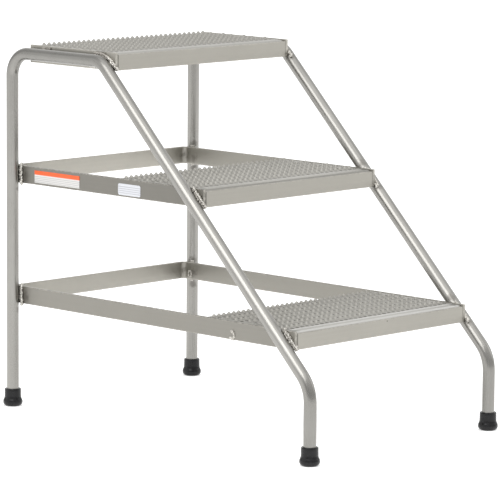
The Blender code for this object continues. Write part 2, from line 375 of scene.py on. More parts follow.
# Colours are linear. The metals have a darker and a lighter one, which their streaks run between.
TUBE_DARK, TUBE_LIGHT = (0.278, 0.271, 0.254), (0.330, 0.323, 0.304)
BAR_DARK, BAR_LIGHT = (0.328, 0.316, 0.284), (0.372, 0.358, 0.322)
TREAD_DARK, TREAD_LIGHT = (0.356, 0.346, 0.317), (0.405, 0.395, 0.364)
BUTTON_TOP, POLISHED = (0.50, 0.49, 0.465), (0.62, 0.615, 0.60)
WELD_DARK, WELD_LIGHT = (0.42, 0.405, 0.37), (0.70, 0.68, 0.635)
STEEL_DARK, STEEL_LIGHT = (0.36, 0.36, 0.36), (0.52, 0.52, 0.53)
RUBBER_DARK, RUBBER_LIGHT = (0.003, 0.003, 0.0034), (0.006, 0.006, 0.007)
RUBBER_SCUFF, DUST = (0.05, 0.05, 0.052), (0.08, 0.077, 0.07)
SOOT, TREAD_SOOT, WELD_SOOT = (0.10, 0.090, 0.078), (0.07, 0.065, 0.058), (0.19, 0.17, 0.148)
HOLE_SHADE, GRIME_AND_SHADE = (0.08, 0.075, 0.068), (0.09, 0.086, 0.078)
WARM_PAPER, COOL_PAPER = (0.60, 0.59, 0.57), (0.585, 0.598, 0.63)
ORANGE, RULE_INK = (0.78, 0.105, 0.02), (0.22, 0.22, 0.24)


def aluminium(name, light, dark, roughness, streaks, heat, hole_shades=()):
    """Extruded aluminium with lines along its length. Heat and the painted shade of small holes are
    places in the frame.
    """
    t = Tree(bpy.data.materials.new(name))
    along, position = t.along(), t.position()
    lines = t.noise(t.scaled(along, (streaks, 5.0, 1.0)), 1.0, 5.0, 0.6)
    bands = t.noise(t.scaled(along, (streaks * 0.16, 1.6, 1.0)), 1.0, 2.0)
    mottle = t.noise(position, 9.0, 5.0, 0.6)
    grain = t.noise(position, 900.0, 2.0)
    scratches = t.noise(t.scaled(along, (260.0, 60.0, 1.0)), 1.0, 6.0, 0.75, 1.2)
    scratch = t.ramp(scratches, 0.66, 0.72)
    tone = t.weighted((lines, 0.35), (bands, 0.15), (mottle, 0.5))
    colour = t.toned(t.mix(t.ramp(tone, 0.34, 0.66), dark, light))
    patchy = t.ramp(t.noise(position, 160.0, 3.0), 0.38, 0.62)
    worn = t.math("MULTIPLY", t.attribute("wear"), patchy)
    bright = tuple(c * 1.35 for c in light)
    colour = t.cover(colour, worn, 0.55, bright)
    colour = t.cover(colour, scratch, 0.25, bright)
    sheen = t.weighted((lines, 0.6), (mottle, 0.4))
    rough = t.ramp(sheen, 0.3, 0.7, roughness * 0.82, roughness * 1.2)
    burnt = t.math("MULTIPLY", t.spots(position, heat, t.frayed(position)), 0.5)
    colour = t.mix(burnt, colour, SOOT)
    rough = t.math("ADD", rough, t.math("MULTIPLY", burnt, 0.18))
    # Painted shade: a dark spot for a small hole that the mesh doesn't have.
    if hole_shades:
        colour = t.cover(colour, t.spots(position, hole_shades), 0.8, HOLE_SHADE)
    normal = t.bump(lines, 0.35, 0.00005)
    normal = t.bump(grain, 0.25, 0.00003, normal)
    normal = t.bump(scratch, 0.15, 0.00004, normal)
    return t.finish(Base_Color=colour, Roughness=rough, Metallic=1.0, Normal=normal)


def tread_metal(heat):
    """The treads: brighter button tops, polished noses, grime in the low places, and painted shade in
    the holes and the nose folds.
    """
    t = Tree(bpy.data.materials.new("tread_metal"))
    position = t.position()
    lines = t.noise(t.scaled(t.along(), (5.0, 700.0, 1.0)), 1.0, 4.0, 0.6)
    mottle = t.noise(position, 14.0, 5.0, 0.6)
    speckle = t.noise(position, 420.0, 3.0, 0.7)
    tone = t.weighted((lines, 0.35), (mottle, 0.65))
    colour = t.mix(t.ramp(tone, 0.35, 0.65), TREAD_DARK, TREAD_LIGHT)
    colour = t.cover(colour, t.ramp(t.attribute("raised"), 0.2, 1.0), 0.15, BUTTON_TOP)
    colour = t.toned(colour)
    colour = t.mix(t.attribute("polish"), colour, POLISHED)
    # Painted shade darkens the holes, on top of the grime.
    dirt_and_shade = t.math("MULTIPLY", t.attribute("grime"), t.ramp(speckle, 0.3, 0.6, 0.72, 1.0))
    colour = t.cover(colour, dirt_and_shade, 0.78, GRIME_AND_SHADE)
    colour = t.cover(colour, t.spots(position, heat, t.frayed(position)), 0.6, TREAD_SOOT)
    rough = t.ramp(mottle, 0.35, 0.65, 0.5, 0.62)
    rough = t.math("ADD", rough, t.math("MULTIPLY", dirt_and_shade, 0.25))
    normal = t.bump(lines, 0.3, 0.00004)
    normal = t.bump(speckle, 0.3, 0.00005, normal)
    return t.finish(Base_Color=colour, Roughness=rough, Metallic=0.5, Normal=normal)


def weld_metal():
    """Rough bright beads, sooty in their hollows and along the edge of the top step."""
    t = Tree(bpy.data.materials.new("weld_metal"))
    position = t.position()
    grain = t.noise(position, 520.0, 4.0, 0.65)
    hollows = t.ramp(t.noise(position, 260.0, 3.0, 0.7), 0.52, 0.63)
    top = level_z("top")
    burnt = t.ramp(t.height(position), top - 0.012, top - 0.005, 0.0, 0.75)
    soot = t.math("MAXIMUM", hollows, burnt)
    colour = t.mix(t.ramp(grain, 0.3, 0.7), WELD_DARK, WELD_LIGHT)
    colour = t.cover(colour, soot, 0.8, WELD_SOOT)
    rough = t.ramp(grain, 0.35, 0.65, 0.22, 0.44)
    rough = t.math("ADD", rough, t.math("MULTIPLY", soot, 0.25))
    normal = t.bump(grain, 0.6, 0.00015)
    return t.finish(Base_Color=colour, Roughness=rough, Metallic=0.75, Normal=normal)


def rubber():
    """Black moulded rubber, scuffed all over and dusty where it meets the floor."""
    t = Tree(bpy.data.materials.new("moulded_rubber"))
    position = t.position()
    speckle = t.noise(position, 1300.0, 3.0, 0.6)
    cloud = t.noise(position, 70.0, 4.0, 0.6)
    scuffs = t.ramp(t.noise(t.scaled(position, (160.0, 160.0, 420.0)), 1.0, 5.0, 0.7), 0.6, 0.72)
    low = t.ramp(t.height(position), 0.001, 0.009, 1.0, 0.0)
    dust = t.math("MULTIPLY", low, t.ramp(cloud, 0.35, 0.7))
    colour = t.mix(t.ramp(cloud, 0.3, 0.7), RUBBER_DARK, RUBBER_LIGHT)
    colour = t.cover(colour, scuffs, 0.3, RUBBER_SCUFF)
    colour = t.cover(colour, dust, 0.22, DUST)
    rough = t.ramp(cloud, 0.3, 0.7, 0.20, 0.30)
    normal = t.bump(speckle, 0.35, 0.00006)
    normal = t.bump(scuffs, 0.2, 0.0001, normal)
    return t.finish(Base_Color=colour, Roughness=rough, Normal=normal, Specular_IOR_Level=0.32)


def plated_steel():
    t = Tree(bpy.data.materials.new("plated_steel"))
    position = t.position()
    cloud = t.noise(position, 300.0, 4.0)
    spangle = t.noise(position, 1400.0, 2.0)
    colour = t.mix(t.ramp(cloud, 0.35, 0.65), STEEL_DARK, STEEL_LIGHT)
    rough = t.ramp(spangle, 0.3, 0.7, 0.28, 0.45)
    normal = t.bump(spangle, 0.3, 0.00004)
    return t.finish(Base_Color=colour, Roughness=rough, Metallic=1.0, Normal=normal)


def film(name, paper, rules, band=None, split=0.0):
    """Printed film: plain ruled lines, (start, pitch, count), and a coloured band above a height."""
    t = Tree(bpy.data.materials.new(name))
    position = t.position()
    height = t.height(position)
    fibre = t.noise(position, 800.0, 4.0)
    cloud = t.noise(position, 60.0, 4.0)
    colour = t.mix(t.ramp(cloud, 0.3, 0.7), tuple(c * 0.93 for c in paper), paper)
    start, pitch, count = rules
    below = t.math("DIVIDE", t.math("SUBTRACT", start, height), pitch)
    line = t.ramp(t.math("PINGPONG", below, 0.5), 0.22, 0.32)
    past_first = t.math("GREATER_THAN", below, 0.0)
    inside = t.math("MULTIPLY", past_first, t.math("LESS_THAN", below, float(count)))
    faded = t.ramp(cloud, 0.3, 0.6, 0.6, 1.0)
    line = t.math("MULTIPLY", t.math("MULTIPLY", line, inside), faded)
    colour = t.cover(colour, line, 0.5, RULE_INK)
    if band is not None:
        above = t.ramp(height, split - 0.0001, split + 0.0001, smooth=False)
        tint = t.mix(t.ramp(cloud, 0.3, 0.7), tuple(c * 0.9 for c in band), band)
        colour = t.mix(above, colour, tint)
    rough = t.ramp(fibre, 0.3, 0.7, 0.34, 0.46)
    return t.finish(Base_Color=colour, Roughness=rough, Normal=t.bump(fibre, 0.2, 0.00003))


# Where the welders' heat has left dark patches, as (centre, radius)

def bar_heat():
    """At the bent rear corners and the weld ends."""
    spots = []
    for sign in SIDES.values():
        outer = sign * HALF_WIDTH
        for level in FRAME_LEVELS:
            middle = level_z(level) - BAR_HEIGHT / 2
            spots.append(((sign * (HALF_WIDTH - 0.010), REAR_FACE_Y - 0.010, middle), 0.010))
            spots.append(((outer, REAR_LEG_Y - 0.024, middle - 0.004), 0.016))
        for level in LEVELS:
            lower = level_z(level) - BAR_HEIGHT
            spots.append(((outer, face_y(level) + 0.004, lower + 0.004), 0.012))
            spots.append(((outer, face_y(level) + 0.040, lower + 0.034), 0.012))
        for back in (0.036, 0.052):
            spots.append(((outer, face_y("top") + back, level_z("top") - 0.003), 0.013))
    return spots


def tube_heat():
    """Above and below each bar that a tube meets, on the side towards the bar."""
    spots = []
    for sign in SIDES.values():
        for level in LEVELS:
            for height in (level_z(level) + 0.004, level_z(level) - BAR_HEIGHT - 0.004):
                if height < TOP_TUBE_Z:
                    y = stringer_y(height) - 0.010
                    spots.append(((sign * (TUBE_X - 0.010), y, height + 0.006), 0.013))
        for level in FRAME_LEVELS:
            for height in (level_z(level) + 0.006, level_z(level) - BAR_HEIGHT - 0.012):
                spots.append(((sign * (TUBE_X - 0.008), REAR_LEG_Y - 0.010, height), 0.012))
    return spots


def tread_heat():
    """At the treads' ends, by the sloped tubes."""
    return [
        ((sign * (HALF_WIDTH - 0.014), stringer_y(level_z(level)) - 0.026, level_z(level)), 0.015)
        for sign in SIDES.values() for level in FRAME_LEVELS
    ]


# A dark dot on the bottom front bar: painted shade for a small hole, with no hole in the mesh.
BAR_HOLE_SHADES = [((0.015, face_y("bottom"), 0.2457), 0.0022)]


# Tone: painted light and shade on the tubes and bars, and one tone for each tread, kept as a number
# at each point, where 1 is 30% lighter

# The front legs and the level top runs are darkened by painted shade, which comes in between two
# heights.
LEG_SHADE, LEG_FADE = -0.5, (0.20, 0.12)
RUN_SHADE, RUN_FADE = -0.6, (0.66, 0.73)
# A bent bar's painted shade and light, as tones at its left arm's front end, at that arm's rear end,
# and along its rear: its arms are darkened and its rear is lightened.
BENT_BAR_LIGHT_AND_SHADE = {"bottom": (-0.95, -0.75, 0.30), "middle": (-1.45, -1.2, 0.90)}
RIGHT_ARM_SHADE = -0.5
CORNER_FADE = 0.05  # from a bent bar's side in to where only its rear's tone is left
SEAM = 0.0018  # width of the line of painted shade at a cross bar's ends
SEAM_SHADES = {"left": -1.7, "right": -0.8}
TREAD_TONES = {"bottom": -0.15, "middle": 0.0, "top": -0.4}


def fade(value, start, end):
    """0 at the start and 1 at the end."""
    return min(max((value - start) / (end - start), 0.0), 1.0)


# Painted shade on a tube: darker low on a front leg and along the top run.
def tube_shade(y, z):
    leg = LEG_SHADE * fade(z, *LEG_FADE) * fade(y, 0.0, -0.1)
    return leg + RUN_SHADE * fade(z, *RUN_FADE)


# Painted light and shade on a bent bar: darker arms, a lighter rear.
def bent_bar_light_and_shade(level, x, y):
    front, rear_end, rear = BENT_BAR_LIGHT_AND_SHADE[level]
    back = fade(y, face_y(level), REAR_FACE_Y)
    inward = fade(abs(x), HALF_WIDTH, HALF_WIDTH - CORNER_FADE)
    arm = front + (rear_end - front) * back if x < 0 else RIGHT_ARM_SHADE
    return arm * (1.0 - inward) + rear * inward


# Painted shade at a cross bar's end, darker on the left side.
def seam_shade(x, end):
    tone = SEAM_SHADES["left" if x < 0 else "right"]
    return tone * fade(end - abs(x), SEAM * 1.4, SEAM * 1.1)


def add_tone_and_painted_light(obj, rule):
    add_values(obj.data, "patina", [rule(*vertex.co) for vertex in obj.data.vertices])


# Tubes and bars

def make_side_frames(material):
    for side, sign in SIDES.items():
        corners = [Vector((sign * TUBE_X, y, z)) for y, z in (
            (REAR_LEG_Y, TUBE_BOTTOM),
            (REAR_LEG_Y, TOP_TUBE_Z),
            (stringer_y(TOP_TUBE_Z), TOP_TUBE_Z),
            (FRONT_LEG_Y, stringer_height(FRONT_LEG_Y)),
            (FRONT_LEG_Y, TUBE_BOTTOM),
        )]
        radii = (0, REAR_BEND_RADIUS, TOP_BEND_RADIUS, FOOT_BEND_RADIUS, 0)
        seam = -math.pi / 2 if sign > 0 else math.pi / 2
        profile = round_profile(TUBE_RADIUS, seam)
        tube = sweep(side + "_tube", rounded_path(corners, radii), (1, 0, 0), profile, material)
        add_tone_and_painted_light(tube, lambda x, y, z: tube_shade(y, z))
        finish_piece(tube, "tube", side + "_side_frame")


def make_bent_bars(profile, material):
    """The bars round the sides and rear of the two lower frames."""
    half = HALF_WIDTH - BAR_THICKNESS / 2
    rear = REAR_FACE_Y - BAR_THICKNESS / 2
    bend = BAR_CORNER_RADIUS - BAR_THICKNESS / 2
    for level in FRAME_LEVELS:
        front, z = face_y(level), level_z(level) - BAR_HEIGHT / 2
        corners = [Vector((-half, front, z)), Vector((-half, rear, z)),
                   Vector((half, rear, z)), Vector((half, front, z))]
        path = rounded_path(corners, (0, bend, bend, 0))
        bar = sweep(level + "_bent_bar", path, (0, 0, 1), profile, material)
        add_tone_and_painted_light(bar, lambda x, y, z: bent_bar_light_and_shade(level, x, y))
        finish_piece(bar, "bar", level + "_frame_bar")


def make_top_side_bars(profile, material):
    for side in SIDES:
        low, high = place("top_" + side + "_bar")
        x, z = (low[0] + high[0]) / 2, (low[2] + high[2]) / 2
        path = [Vector((x, low[1], z)), Vector((x, high[1], z))]
        bar = sweep("top_" + side + "_flat_bar", path, (0, 0, 1), profile, material)
        finish_piece(bar, "bar", "top_" + side + "_bar")


def make_cross_bars(material):
    """The bars along X, each with a line of painted shade at its ends."""
    for node in ("bottom_front_bar", "middle_front_bar", "top_front_bar", "top_rear_bar"):
        low, high = place(node)
        y, z = (low[1] + high[1]) / 2, (low[2] + high[2]) / 2
        insets = (0.0, SEAM, SEAM * 1.5)
        path = [Vector((low[0] + inset, y, z)) for inset in insets]
        path += [Vector((high[0] - inset, y, z)) for inset in reversed(insets)]
        section = bar_profile(high[1] - low[1], high[2] - low[2])
        bar = sweep(node.replace("_bar", "_flat_bar"), path, (0, 0, 1), section, material)
        add_tone_and_painted_light(bar, lambda x, y, z: seam_shade(x, high[0]))
        finish_piece(bar, "bar", node)


# A tread's sheet is laid out flat from cells, then its front and rear are folded down.

SHEET_THICKNESS = 0.0022
SHEET_SHOULDER = 0.0055  # outer radius of the two folds
FOLD_LENGTH = SHEET_SHOULDER * math.pi / 2
CELL_X = 0.0140  # pitch of the buttons and holes along a row
CELL_Y = 0.0156  # from one row to the next
CELL_ROWS = 14
CELL_SIDE = 4  # edges along each side of a cell
REAR_MARGIN = 0.0004  # plain sheet between the last row and the rear fold
MERGE_MICRONS = 20  # points that are nearer than this become one

BUTTON_HEIGHT = 0.0052
BUTTON_RINGS = (  # radius, share of the height, and grime
    (0.0011, 0.985, 0.0), (0.0020, 0.90, 0.0), (0.0028, 0.66, 0.0), (0.0037, 0.30, 0.0),
    (0.0046, 0.07, 0.2), (0.0054, 0.0, 0.3),
)
HOLE_RINGS = (  # radius, height, and grime with painted shade
    (0.0040, -0.0007, 1.0), (0.0044, -0.0001, 0.5), (0.0051, 0.0, 0.1),
)
PLAIN_GRIME = 0.05

# The plain margin at the front is a little lower than the sheet between the cells.
MARGIN_DROP = 0.0006
MARGIN_SLOPE = (0.0012, 0.0028)  # from the cells forward to where it sinks, and over what length
# How bright boots keep each nose's rear line, its flat and its fold, and how much painted shade
# darkens the fold.
NOSE_WEAR_AND_SHADE = {
    "bottom": (0.85, 0.15, 0.6, 0.0),
    "middle": (0.30, 0.0, 0.0, 0.5),
    "top": (0.30, 0.05, 0.2, 0.1),
}
NOSE_LINE = 0.0048  # depth of the rear line
NOSE_EDGE = 0.0006  # how near a border a point counts as on it


def cell_border():
    """Points of a cell's border, anticlockwise from its lower left corner."""
    half_x, half_y, out = CELL_X / 2, CELL_Y / 2, []
    for (x, y), (dx, dy) in (((-1, -1), (1, 0)), ((1, -1), (0, 1)),
                             ((1, 1), (-1, 0)), ((-1, 1), (0, -1))):
        for step in range(CELL_SIDE):
            share = 2 * step / CELL_SIDE
            out.append((half_x * (x + dx * share), half_y * (y + dy * share)))
    return out


def cell(kind):
    """Points (x, y, z, raised, grime with painted shade) and faces of a button or a hole, out to the
    cell's border.
    """
    border = cell_border()
    count = len(border)
    if kind == "button":
        points = [(0.0, 0.0, BUTTON_HEIGHT, 1.0, 0.0)]
        faces = [(0, 1 + j, 1 + (j + 1) % count) for j in range(count)]
        rings = [(radius, BUTTON_HEIGHT * share, share, grime)
                 for radius, share, grime in BUTTON_RINGS]
    else:
        points, faces = [], []
        rings = [(radius, height, 0.0, grime) for radius, height, grime in HOLE_RINGS]
    base = len(points)
    angles = [math.atan2(y / CELL_Y, x / CELL_X) for x, y in border]
    for radius, height, raised, grime in rings:
        points += [(radius * math.cos(angle), radius * math.sin(angle), height, raised, grime)
                   for angle in angles]
    points += [(x, y, 0.0, 0.0, PLAIN_GRIME) for x, y in border]
    for ring in range(len(rings)):
        inner, outer = base + ring * count, base + (ring + 1) * count
        for j in range(count):
            k = (j + 1) % count
            faces.append((inner + j, outer + j, outer + k, inner + k))
    return points, faces


def plain_grid(xs, ys):
    """Points and faces of a flat grid."""
    points = [(x, y, 0.0, 0.0, PLAIN_GRIME) for y in ys for x in xs]
    wide = len(xs)
    faces = []
    for j in range(len(ys) - 1):
        for i in range(wide - 1):
            faces.append((j * wide + i, j * wide + i + 1, (j + 1) * wide + i + 1, (j + 1) * wide + i))
    return points, faces


def tread_sheet(length, cells_start, depth, leg):
    """Parts of the flat layout: x along the step, y back from its front face, z up."""
    columns = int(length / CELL_X)
    columns -= columns % 2
    half = columns * CELL_X / 2
    step = CELL_X / CELL_SIDE
    xs = [-length / 2] + [-half + step * k for k in range(columns * CELL_SIDE + 1)] + [length / 2]
    parts = []
    for row in range(CELL_ROWS):
        points, faces = cell("hole" if row % 2 == 0 else "button")
        shifted = (row // 2) % 2 == 1  # by half a cell, with one cell fewer
        low = cells_start + row * CELL_Y
        first = -half + CELL_X / 2 + (CELL_X / 2 if shifted else 0.0)
        for column in range(columns - 1 if shifted else columns):
            at_x, at_y = first + column * CELL_X, low + CELL_Y / 2
            parts.append(([(x + at_x, y + at_y, z, r, g) for x, y, z, r, g in points], faces))
        ys = [low + CELL_Y * k / CELL_SIDE for k in range(CELL_SIDE + 1)]
        edge = CELL_SIDE // 2 if shifted else 0
        parts.append(plain_grid(xs[:2 + edge], ys))
        parts.append(plain_grid(xs[len(xs) - 2 - edge:], ys))
    arcs = [FOLD_LENGTH * k / 6 for k in range(7)]
    bend_front = SHEET_SHOULDER - FOLD_LENGTH
    bend_rear = depth - SHEET_SHOULDER
    # Lines of points close to the fold and to the margin's slope keep both crisp.
    sunk = cells_start - sum(MARGIN_SLOPE)
    front = [bend_front - leg, bend_front - leg / 2] + [bend_front + a for a in arcs]
    front += [SHEET_SHOULDER + 0.0008, sunk - 0.0014, sunk - 0.0004, sunk + 0.0015]
    front += [cells_start - MARGIN_SLOPE[0], cells_start]
    rear = [cells_start + CELL_ROWS * CELL_Y] + [bend_rear + a for a in arcs]
    rear += [bend_rear + FOLD_LENGTH + leg / 2, bend_rear + FOLD_LENGTH + leg]
    return parts + [plain_grid(xs, front), plain_grid(xs, rear)]


def joined(parts):
    """The parts' points and faces together. Parts that meet share their border points."""
    points = np.array([p for part in parts for p in part[0]])
    faces, start = [], 0
    for part_points, part_faces in parts:
        faces += [tuple(start + index for index in face) for face in part_faces]
        start += len(part_points)
    keys = np.round(points[:, :2] * 1e6 / MERGE_MICRONS).astype(np.int64)
    _, kept, place_of = np.unique(keys, axis=0, return_index=True, return_inverse=True)
    place_of = place_of.ravel()
    faces = [tuple(int(place_of[index]) for index in face) for face in faces]
    return points[kept], [face for face in faces if len(set(face)) == len(face)]


def folded(points, cells_start, depth):
    """Folds the flat layout's front and rear down, and lowers its plain front margin a little."""
    out = points.copy()
    y, z = points[:, 1], points[:, 2]
    radius = SHEET_SHOULDER
    before, length = MARGIN_SLOPE
    margin = np.clip((cells_start - before - y) / length, 0.0, 1.0)
    drop = MARGIN_DROP * margin * margin * (3 - 2 * margin)
    out[:, 2] = z - drop
    for sign, start in ((-1, radius), (1, depth - radius)):
        past = (y - start) * sign
        bent = past > 0
        angle = np.clip(past / radius, 0.0, math.pi / 2)
        beyond = np.maximum(past - FOLD_LENGTH, 0.0)
        reach = radius * np.sin(angle)
        fall = radius * (1 - np.cos(angle)) + beyond
        out[bent, 1] = (start + sign * reach)[bent]
        out[bent, 2] = (z - drop - fall)[bent]
    return out


def make_tread(level, material):
    low, high = place(level + "_tread")
    length, depth = high[0] - low[0], high[1] - low[1]
    leg = high[2] - low[2] - SHEET_SHOULDER
    cells_start = depth - SHEET_SHOULDER - REAR_MARGIN - CELL_ROWS * CELL_Y
    flat, faces = joined(tread_sheet(length, cells_start, depth, leg))
    vertices = folded(flat[:, :3], cells_start, depth)
    vertices[:, 1] += low[1]
    vertices[:, 2] += high[2]
    uvs = [tuple(flat[index][:2]) for face in faces for index in face]
    y = flat[:, 1]
    line, plain, fold, fold_shade = NOSE_WEAR_AND_SHADE[level]
    polish = np.where(y > cells_start - NOSE_LINE, line, np.where(y > SHEET_SHOULDER, plain, fold))
    polish = np.where(y > cells_start - NOSE_EDGE, 0.0, polish)
    # The fold, where the sheet turns down behind the front bar, takes painted shade.
    grime = np.where(y < SHEET_SHOULDER + NOSE_EDGE, fold_shade, flat[:, 4])
    values = {"raised": flat[:, 3], "grime": grime, "polish": polish}
    sheet = make_object(level + "_button_tread", vertices, faces, material, uvs, values, sharp=60)
    add_tone_and_painted_light(sheet, lambda x, y, z: TREAD_TONES[level])
    thick = sheet.modifiers.new("Thickness", "SOLIDIFY")
    thick.thickness = SHEET_THICKNESS
    thick.offset = -1.0
    finish_piece(sheet, "tread", level + "_tread")


# Welds are chains of overlapping lumps, fused by a remesh.

STRINGER_BEAD = 0.0038  # radius of a bead where a step frame meets a sloped tube
LEG_BEAD = 0.0032  # the same, at a rear leg
BEND_BEAD = 0.0033  # round a top bend
RUN_BEAD = 0.0021  # along a level top run
TOUCH = TUBE_RADIUS * 0.88  # from a tube's axis to the line where a bead lies
PROUD = 0.0022  # from a frame's side out to a bead's middle
WELD_VOXEL = 0.00045
FIRST_SEEDS = {"left": 1, "right": 9}


def point_on(path, distance):
    """The point and direction at a distance along a path."""
    for a, b in zip(path, path[1:]):
        step = (b - a).length
        if distance <= step or b is path[-1]:
            return a.lerp(b, min(distance / step, 1.0)), (b - a).normalized()
        distance -= step


def weld_lumps(shape, path, radius, across, seed):
    """Adds lumps along a path: two strands side by side, out of step with each other."""
    rng = random.Random(seed)
    total = sum((b - a).length for a, b in zip(path, path[1:]))
    pitch = radius * 0.95
    for strand in (-1, 1):
        at = rng.uniform(0.0, pitch)
        while at < total:
            point, way = point_on(path, at)
            side = across.cross(way).normalized()
            size = radius * rng.uniform(0.62, 1.12)
            shift = side * strand * radius * rng.uniform(0.25, 0.9)
            lift = across * radius * rng.uniform(-0.15, 0.2)
            turn = way.to_track_quat("X", "Z").to_matrix().to_4x4()
            spin = Euler((rng.uniform(-0.5, 0.5), rng.uniform(-0.4, 0.4), rng.uniform(-0.5, 0.5)))
            scale = Matrix.Diagonal((0.62, 1.0, rng.uniform(0.75, 1.0), 1.0))
            matrix = Matrix.Translation(point + shift + lift) @ turn @ spin.to_matrix().to_4x4()
            bmesh.ops.create_icosphere(shape, subdivisions=3, radius=size, matrix=matrix @ scale)
            at += pitch * rng.uniform(0.75, 1.2)


def make_weld(name, path, sign, radius, material, seed, *nodes):
    """A bead along a path on a surface that faces along X, with the given sign."""
    mesh = bpy.data.meshes.new(name)
    shape = bmesh.new()
    weld_lumps(shape, path, radius, Vector((sign, 0.0, 0.0)), seed)
    shape.to_mesh(mesh)
    shape.free()
    mesh.materials.append(material)
    bead = bpy.data.objects.new(name, mesh)
    bpy.context.scene.collection.objects.link(bead)
    fuse = bead.modifiers.new("Fuse", "REMESH")
    fuse.mode = "VOXEL"
    fuse.voxel_size = WELD_VOXEL
    fuse.use_smooth_shade = True
    relax = bead.modifiers.new("Relax", "SMOOTH")
    relax.factor = 0.5
    relax.iterations = 2
    finish_piece(bead, "weld", *nodes)


def stringer_weld_path(sign, level):
    """Up the corner between a step frame and a sloped tube, then over the step's edge."""
    face = sign * (HALF_WIDTH + PROUD)
    lower, upper = level_z(level) - BAR_HEIGHT + 0.001, level_z(level) - 0.003
    shift = TOUCH * math.sqrt(2) + 0.0026
    path = [Vector((face, stringer_y(z) - shift, z)) for z in (lower, upper)]
    edge = path[1] + Vector((-sign * 0.001, 0.002, 0.0026))
    over = Vector((sign * (HALF_WIDTH - 0.002), path[1].y + 0.005, level_z(level) + 0.0002))
    return path + [edge, over]


def leg_weld_path(sign, level):
    """Up the corner between a step frame and a rear leg, wrapped over the bar's two edges."""
    face, inner = sign * (HALF_WIDTH + PROUD), sign * (HALF_WIDTH - 0.0045)
    y = REAR_LEG_Y - TOUCH - 0.0030
    lower, upper = level_z(level) - BAR_HEIGHT - 0.0008, level_z(level) + 0.0008
    return [Vector((inner, y + 0.003, lower)), Vector((face, y, lower)),
            Vector((face, y, upper)), Vector((inner, y + 0.003, upper))]


def top_bend_weld_path(sign):
    """Up the sloped tube, round its bend and along the top run, beside the top frame."""
    face = sign * (HALF_WIDTH + PROUD)
    upper, lower = TOP_TUBE_Z + TOUCH + 0.0012, level_z("top") - BAR_HEIGHT + 0.001
    shift = (TOUCH + 0.0024) * math.sqrt(2)
    corner = Vector((face, stringer_y(upper) - shift, upper))
    corners = [Vector((face, stringer_y(lower) - shift, lower)), corner,
               corner + Vector((0.0, 0.038, 0.0))]
    return rounded_path(corners, (0, TOP_BEND_RADIUS + TOUCH, 0))


def run_weld_path(sign, node):
    """Level, along the middle of its solid."""
    low, high = place(node)
    face, z = sign * (HALF_WIDTH + PROUD), (low[2] + high[2]) / 2
    return [Vector((face, low[1] + 0.002, z)), Vector((face, high[1] - 0.002, z))]


def side_welds(side, sign):
    """One side's welds, each as its kind, path, bead radius and seed."""
    seed = FIRST_SEEDS[side]
    for index, level in enumerate(FRAME_LEVELS):
        yield level + "_stringer", stringer_weld_path(sign, level), STRINGER_BEAD, seed + 2 * index
        yield level + "_leg", leg_weld_path(sign, level), LEG_BEAD, seed + 2 * index + 1
    yield "top_bend", top_bend_weld_path(sign), BEND_BEAD, seed + 4
    for index, kind in enumerate(("top_upper", "top_lower")):
        path = run_weld_path(sign, side + "_" + kind + "_weld")
        yield kind, path, RUN_BEAD, seed + 5 + 2 * index


def make_welds(material):
    for side, sign in SIDES.items():
        for kind, path, radius, seed in side_welds(side, sign):
            node = side + "_" + kind + "_weld"
            make_weld(node + "_bead", path, sign, radius, material, seed, node)


PLUG_WELDS = {  # middle, radius, first and last angle in degrees, radius of the bead, and seed
    "left_plug_weld": ((-HALF_WIDTH - 0.0004, -0.2040, 0.2265), 0.0056, 70, 350, 0.0024, 160),
    "right_plug_weld": (
        (HALF_WIDTH - BAR_THICKNESS - 0.0003, 0.418, 0.229), 0.0050, 0, 345, 0.0014, 90
    ),
}


def make_plug_welds(material):
    """A worn C of weld on the bottom frame's left side, and a ring inside its right side."""
    for name, ((x, y, z), ring, first, last, radius, seed) in PLUG_WELDS.items():
        angles = [math.radians(a) for a in range(first, last + 1, 15)]
        path = [Vector((x, y + ring * math.cos(a), z + ring * 1.35 * math.sin(a))) for a in angles]
        make_weld(name, path, -1, radius, material, seed)


# Feet

FOOT_PROFILE = (  # radius and height, from the socket out and down
    (0.0, 0.0089), (0.01275, 0.0089), (0.013, 0.0094), (0.013, 0.0356), (0.0134, 0.0366),
    (0.0144, 0.037), (0.0161, 0.0369), (0.0169, 0.0363), (0.01715, 0.0352), (0.01725, 0.03),
    (0.01735, 0.0245), (0.01745, 0.02), (0.0179, 0.0172), (0.0189, 0.0148), (0.02, 0.0124),
    (0.0205, 0.0096), (0.0204, 0.0072), (0.0197, 0.0049), (0.0184, 0.0029), (0.0169, 0.0014),
    (0.0152, 0.0004), (0.0136, 0.0), (0.0124, 0.0), (0.0119, 0.0005), (0.0114, 0.0011),
    (0.0084, 0.0011), (0.0079, 0.0005), (0.0074, 0.0), (0.004, 0.0), (0.0035, 0.0005),
    (0.003, 0.001), (0.0, 0.001),
)
FOOT_SEGMENTS = 64


def turned(profile, x, y):
    """Points and faces of a (radius, height) profile turned about an upright axis at (x, y)."""
    vertices, faces, rings = [], [], []
    for radius, height in profile:
        count = FOOT_SEGMENTS if radius > 0 else 1
        rings.append(range(len(vertices), len(vertices) + count))
        for k in range(count):
            angle = 2 * math.pi * k / FOOT_SEGMENTS
            vertices.append((x + radius * math.cos(angle), y + radius * math.sin(angle), height))
    for a, b in zip(rings, rings[1:]):
        for k in range(FOOT_SEGMENTS):
            n = (k + 1) % FOOT_SEGMENTS
            if len(a) == 1:
                faces.append((a[0], b[k], b[n]))
            elif len(b) == 1:
                faces.append((a[k], b[0], a[n]))
            else:
                faces.append((a[k], b[k], b[n], a[n]))
    return vertices, faces


